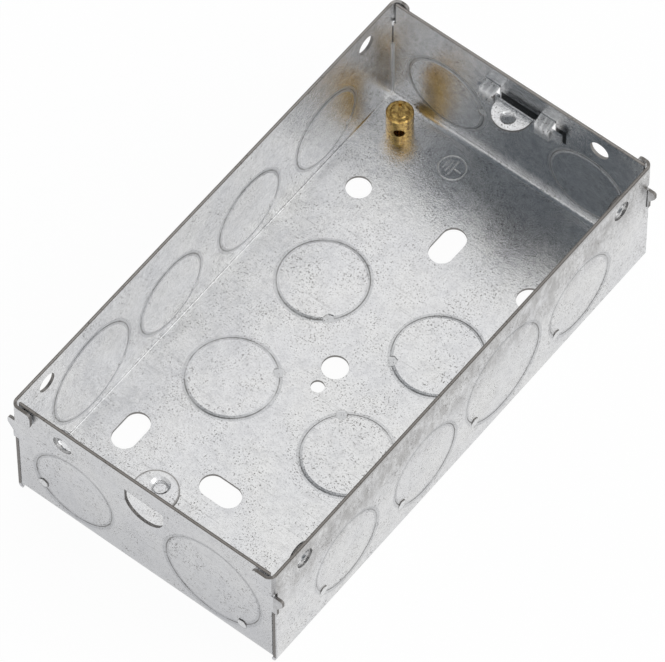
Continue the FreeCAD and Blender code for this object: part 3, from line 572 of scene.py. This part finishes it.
# %% Zinc materials
def zinc_material(name, marks):
    material, tree, shader = new_material(name)
    coords = object_coords(tree)
    x, y, z = split(tree, coords)

    cloud = noise(tree, coords, 16.0, detail=5.0, rough=0.65)
    mottle = noise(tree, coords, 2.2, detail=5.0, rough=0.75)
    grain = noise(tree, coords, 0.45, detail=3.0, rough=0.7)
    base = colour_mix(tree, ramp(tree, cloud, 0.35, 0.65), *ZINC)
    base = colour_mix(tree, ramp(tree, mottle, 0.45, 0.66, 0.0, 0.6), base, ZINC_LIGHT)
    base = colour_mix(tree, ramp(tree, mottle, 0.50, 0.34, 0.0, 0.4), base, ZINC_DULL)
    base = colour_mix(tree, ramp(tree, grain, 0.48, 0.34, 0.0, 0.35), base, ZINC_DULL)
    base = colour_mix(tree, math_node(tree, "MULTIPLY", scratches(tree, coords), 0.4),
                      base, RUB)
    base, dull, relief = marks(tree, coords, base, x, y, z)
    base = colour_mix(tree, specks(tree, coords), base, SPECK)

    feed(tree, shader.inputs["Base Color"], base)
    shader.inputs["Metallic"].default_value = 1.0
    sheen = ramp(tree, mottle, 0.32, 0.68, 0.10, 0.23, smooth=False)
    feed(tree, shader.inputs["Roughness"], math_node(
        tree, "MAXIMUM", sheen, math_node(tree, "MULTIPLY", dull, 0.5)))
    bump = tree.nodes.new("ShaderNodeBump")
    bump.inputs["Strength"].default_value = 1.0
    bump.inputs["Distance"].default_value = 0.045 * MM
    height = math_node(tree, "ADD", math_node(tree, "MULTIPLY", mottle, 0.75),
                       math_node(tree, "MULTIPLY", grain, 1.35))
    height = math_node(tree, "ADD", height, math_node(tree, "MULTIPLY", cloud, 1.2))
    feed(tree, bump.inputs["Height"], math_node(tree, "ADD", height, relief))
    tree.links.new(bump.outputs[0], shader.inputs["Normal"])
    return material


def rubbed_zinc_material(name):
    # The stamped ridges of the earth sign stand proud, so they are rubbed to an even satin.
    material, tree, shader = new_material(name)
    wear = noise(tree, object_coords(tree), 0.5, detail=3.0, rough=0.6)
    base = colour_mix(tree, ramp(tree, wear, 0.4, 0.6), *SIGN_ZINC)
    feed(tree, shader.inputs["Base Color"], base)
    shader.inputs["Metallic"].default_value = 0.6
    shader.inputs["Roughness"].default_value = 0.45
    return material


box_zinc = zinc_material("zinc_on_box", box_marks)
rubbed_zinc = rubbed_zinc_material("rubbed_zinc")
lug_zinc = zinc_material("zinc_on_sliding_lug", lug_marks)
print("zinc trees:", len(box_zinc.node_tree.nodes), "and", len(lug_zinc.node_tree.nodes), "nodes")

# %% [markdown]
# Brass
#
# The earth terminal and its screw are turned brass. Turning leaves very fine rings round the axis,
# and handling leaves darker, browner patches.

# %% Brass
BRASS = ((0.80, 0.55, 0.19, 1), (0.36, 0.21, 0.07, 1))


def brass_material(name):
    material, tree, shader = new_material(name)
    coords = object_coords(tree)
    tarnish = ramp(tree, noise(tree, coords, 0.9, detail=4.0, rough=0.75), 0.44, 0.60)
    base = colour_mix(tree, tarnish, *BRASS)
    turned = noise(tree, coords, 0.25, detail=1.0, stretch=(0.1, 0.1, 1.0))
    feed(tree, shader.inputs["Base Color"], base)
    shader.inputs["Metallic"].default_value = 1.0
    feed(tree, shader.inputs["Roughness"], ramp(tree, turned, 0.3, 0.7, 0.16, 0.30, smooth=False))
    bump = tree.nodes.new("ShaderNodeBump")
    bump.inputs["Strength"].default_value = 0.3
    bump.inputs["Distance"].default_value = 0.03 * MM
    feed(tree, bump.inputs["Height"], turned)
    tree.links.new(bump.outputs[0], shader.inputs["Normal"])
    return material


brass = brass_material("turned_brass")
print("brass tree:", len(brass.node_tree.nodes), "nodes")

# %% [markdown]
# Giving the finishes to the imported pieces
#
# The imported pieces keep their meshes. Only their material slots change.

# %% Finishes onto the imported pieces
FINISHES = {"box_body": box_zinc, "sliding_lug": lug_zinc, "earth_terminal": brass, "terminal_screw": brass}
for node_name, finish_material in FINISHES.items():
    mesh = nodes[node_name].data
    mesh.materials.clear()
    mesh.materials.append(finish_material)
    print(node_name, "faces:", len(mesh.polygons))

# %% [markdown]
# A piece made here
#
# A new piece starts as a bmesh, is placed in millimetres, scaled to metres, and rides on the body
# that carries it.

# %% Helper for new pieces
def finished_piece(name, shape, material, body):
    bmesh.ops.scale(shape, vec=(MM, MM, MM), verts=shape.verts)
    bmesh.ops.recalc_face_normals(shape, faces=shape.faces)
    mesh = bpy.data.meshes.new(name)
    shape.to_mesh(mesh)
    shape.free()
    mesh.materials.append(material)
    piece = bpy.data.objects.new(name, mesh)
    bpy.context.collection.objects.link(piece)
    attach(piece, body)
    print(name, "faces:", len(mesh.polygons))
    return piece


# %% [markdown]
# The earth sign beside the terminal
#
# The sheet is stamped with the usual sign for earth: a ring round a stem and three bars that get
# shorter. Stamping pushes a rounded ridge up from the base, so the ring is a low ridge spun round
# its middle, and each bar is a low block with its upper edges bevelled.

# %% Earth sign
SIGN = (-11.8, 57.3)
SIGN_RADIUS = 3.2
RIDGE = 0.34
RIDGE_HEIGHT = 0.22
RIDGE_SECTION = [(-RIDGE / 2, -0.1), (RIDGE / 2, -0.1), (RIDGE / 2, 0.04), (0.05, RIDGE_HEIGHT),
                 (-0.05, RIDGE_HEIGHT), (-RIDGE / 2, 0.04)]


def ridge_bar(shape, x, y, length, along_y):
    # The ridge's section swept along a straight line, with both ends closed.
    ends = []
    for along in (-length / 2, length / 2):
        ends.append([shape.verts.new((x + across, y + along, SHEET + up) if along_y
                                     else (x + along, y + across, SHEET + up))
                     for across, up in RIDGE_SECTION])
    for start, end in zip(range(len(RIDGE_SECTION)), [*range(1, len(RIDGE_SECTION)), 0]):
        shape.faces.new((ends[0][start], ends[0][end], ends[1][end], ends[1][start]))
    shape.faces.new(ends[0])
    shape.faces.new(ends[1])


def earth_sign():
    shape = bmesh.new()
    verts = [shape.verts.new((SIGN[0] + SIGN_RADIUS + across, SIGN[1], SHEET + up))
             for across, up in RIDGE_SECTION]
    edges = [shape.edges.new((verts[i - 1], verts[i])) for i in range(len(verts))]
    bmesh.ops.spin(shape, geom=verts + edges, cent=(SIGN[0], SIGN[1], SHEET), axis=(0, 0, 1),
                   angle=2 * math.pi, steps=48, use_merge=True)
    for offset, length in ((0.2, 4.4), (-0.8, 3.3), (-1.75, 2.5)):
        ridge_bar(shape, SIGN[0] + offset, SIGN[1], length, along_y=True)
    ridge_bar(shape, SIGN[0] + 1.45, SIGN[1], 1.8, along_y=False)
    return finished_piece("earth_sign", shape, rubbed_zinc, "box")


earth_sign()

# %% [markdown]
# Lips of the wall holes
#
# The holes of the near and right walls were pierced and then dished inwards, so that a screw head
# sinks in and the metal behind it stands up as a short lip. The lip's section is spun round the
# hole's axis, and its root starts inside the sheet. The left and far walls' holes are plain.

# %% Wall hole lips
LIP_SECTION = [(2.5, -0.2), (2.5, 0.3), (2.55, 1.3), (2.75, 1.45), (3.1, 1.3), (3.35, 0.6), (3.6, 0.02),
               (3.6, -0.2)]
DISHED_HOLES = [((HALF_X - SHEET, -SIDE_HOLE_Y), (-1, 0)), ((HALF_X - SHEET, SIDE_HOLE_Y), (-1, 0)),
                ((-END_HOLE_X, SHEET - HALF_Y), (0, 1))]


def wall_hole_lips():
    shape = bmesh.new()
    for (x, y), (inward_x, inward_y) in DISHED_HOLES:
        verts = [shape.verts.new((x + inward_x * depth, y + inward_y * depth, WALL_HOLE_RISE + radius))
                 for radius, depth in LIP_SECTION]
        edges = [shape.edges.new((verts[i - 1], verts[i])) for i in range(len(verts))]
        bmesh.ops.spin(shape, geom=verts + edges, cent=(x, y, WALL_HOLE_RISE),
                       axis=(inward_x, inward_y, 0), angle=2 * math.pi, steps=40, use_merge=True)
    lips = finished_piece("wall_hole_lips", shape, box_zinc, "box")
    for face in lips.data.polygons:
        face.use_smooth = True


wall_hole_lips()

# %% [markdown]
# Threads in the two lugs
#
# Each lug hole is tapped for a machine screw. A thread is one ridge wound as a helix: a small
# triangle spun round the hole's axis while it climbs one pitch for each turn.

# %% Lug threads
PITCH = 0.6
LEAD_IN = 0.25
SLIDING_COLLAR_EXTRA = 0.45


def thread(name, middle, top, body, material):
    shape = bmesh.new()
    turns = int((top - LUG_HOLE_FOOT) / PITCH)
    section = [(0.02, -0.22), (-0.16, 0.0), (0.02, 0.22)]
    verts = [shape.verts.new((middle[0] + LUG_HOLE_R + dx, middle[1], LUG_HOLE_FOOT + LEAD_IN + dz))
             for dx, dz in section]
    first = shape.faces.new(verts)
    steps = 28 * turns
    made = bmesh.ops.spin(shape, geom=[first] + verts + list(first.edges),
                          cent=(middle[0], middle[1], 0), axis=(0, 0, 1),
                          dvec=(0, 0, PITCH * turns / steps), angle=2 * math.pi * turns,
                          steps=steps, use_duplicate=False)
    print("thread turns:", turns, "end pieces:", len(made["geom_last"]))
    return finished_piece(name, shape, material, body)


thread("fixed_lug_thread", FIXED_LUG, LUG_HOLE_TOP, "box", box_zinc)
thread("sliding_lug_thread", SLIDING_LUG, LUG_HOLE_TOP + SLIDING_COLLAR_EXTRA, "lug", lug_zinc)

# %% [markdown]
# The white floor
#
# The photograph shows the box on plain white. The floor is a white sheet that shows as white to
# the camera and in the metal, and still takes the box's soft shadow.

# %% Floor
FLOOR_HALF_SIDE = 3.0
FLOOR_SEEN, FLOOR_IN_METAL = 1.02, 0.86


def floor_material():
    material, tree, shader = new_material("white_floor")
    path = tree.nodes.new("ShaderNodeLightPath")
    shader.inputs["Base Color"].default_value = (0.86, 0.86, 0.86, 1)
    shader.inputs["Roughness"].default_value = 0.9
    glow = tree.nodes.new("ShaderNodeEmission")
    glow.inputs["Color"].default_value = (1, 1, 1, 1)
    in_metal = largest(tree, [path.outputs["Is Glossy Ray"], path.outputs["Is Transmission Ray"]])
    feed(tree, glow.inputs["Strength"], ramp(tree, in_metal, 0.0, 1.0, FLOOR_SEEN, FLOOR_IN_METAL))
    seen = largest(tree, [path.outputs["Is Camera Ray"], in_metal])
    mix = tree.nodes.new("ShaderNodeMixShader")
    feed(tree, mix.inputs[0], math_node(tree, "MULTIPLY", seen, 0.93))
    tree.links.new(shader.outputs[0], mix.inputs[1])
    tree.links.new(glow.outputs[0], mix.inputs[2])
    output = next(node for node in tree.nodes if node.type == "OUTPUT_MATERIAL")
    tree.links.new(mix.outputs[0], output.inputs["Surface"])
    return material


def floor():
    shape = bmesh.new()
    bmesh.ops.create_grid(shape, x_segments=1, y_segments=1, size=FLOOR_HALF_SIDE)
    bmesh.ops.translate(shape, vec=(0, 0, -0.02 * MM), verts=shape.verts)
    mesh = bpy.data.meshes.new("floor")
    shape.to_mesh(mesh)
    shape.free()
    mesh.materials.append(floor_material())
    sheet = bpy.data.objects.new("floor", mesh)
    bpy.context.collection.objects.link(sheet)
    print("floor side in metres:", 2 * FLOOR_HALF_SIDE)


floor()

# %% [markdown]
# Light
#
# Bright metal only looks like metal when something darker is in reach of its reflections, so the
# sky is pale all round but darker high up to the front left, as the unlit part of a room would be.
# The far part of the base and the far wall mirror it. One wide soft lamp from the right adds a
# little shape to the bends.

# %% Sky and lamp
DIM_TOWARDS = Vector((-0.33, -0.42, 0.85))
SKY_BRIGHT = (0.92, 0.92, 0.92, 1)
SKY_DIM = (0.143, 0.158, 0.172, 1)


def sky():
    world = bpy.data.worlds.new("studio")
    bpy.context.scene.world = world
    world.use_nodes = True
    tree = world.node_tree
    background = tree.nodes["Background"]
    direction = tree.nodes.new("ShaderNodeTexCoord").outputs["Generated"]
    dot = tree.nodes.new("ShaderNodeVectorMath")
    dot.operation = "DOT_PRODUCT"
    tree.links.new(direction, dot.inputs[0])
    dot.inputs[1].default_value = DIM_TOWARDS.normalized()
    dim = ramp(tree, dot.outputs["Value"], 0.74, 0.91)
    path = tree.nodes.new("ShaderNodeLightPath")
    colour = colour_mix(tree, dim, SKY_BRIGHT, SKY_DIM)
    colour = colour_mix(tree, path.outputs["Is Camera Ray"], colour, (1, 1, 1, 1))
    feed(tree, background.inputs["Color"], colour)
    background.inputs["Strength"].default_value = 1.0
    print("sky dims towards", tuple(round(c, 2) for c in DIM_TOWARDS))


def soft_lamp(name, place, target, size, watts):
    light = bpy.data.lights.new(name, "AREA")
    light.shape = "DISK"
    light.size = size
    light.energy = watts
    lamp = bpy.data.objects.new(name, light)
    bpy.context.collection.objects.link(lamp)
    lamp.location = place
    lamp.rotation_mode = "QUATERNION"
    lamp.rotation_quaternion = (Vector(target) - Vector(place)).to_track_quat("-Z", "Y")
    print(name, "at", place)


sky()
soft_lamp("side_softbox", place=(1.4, 0.5, 0.8), target=(0, 0, 0), size=1.4, watts=4.0)

# %% [markdown]
# Camera
#
# The camera stands where the photograph was taken from: far off, to the front right and high up,
# with a long lens, so that the box's edges stay nearly parallel.

# %% Camera
CAMERA_PLACE = (0.56001, -0.70674, 1.46085)
CAMERA_TURN = (0.557878, 0.002208, 0.667156)
LENS, SENSOR = 422.4, 36.0


def camera():
    data = bpy.data.cameras.new("camera")
    data.lens = LENS
    data.sensor_width = SENSOR
    data.clip_start, data.clip_end = 0.05, 50.0
    eye = bpy.data.objects.new("camera", data)
    bpy.context.collection.objects.link(eye)
    eye.location = CAMERA_PLACE
    eye.rotation_euler = CAMERA_TURN
    bpy.context.scene.camera = eye
    print("camera lens:", data.lens)


camera()
bpy.context.scene.view_settings.view_transform = "Standard"
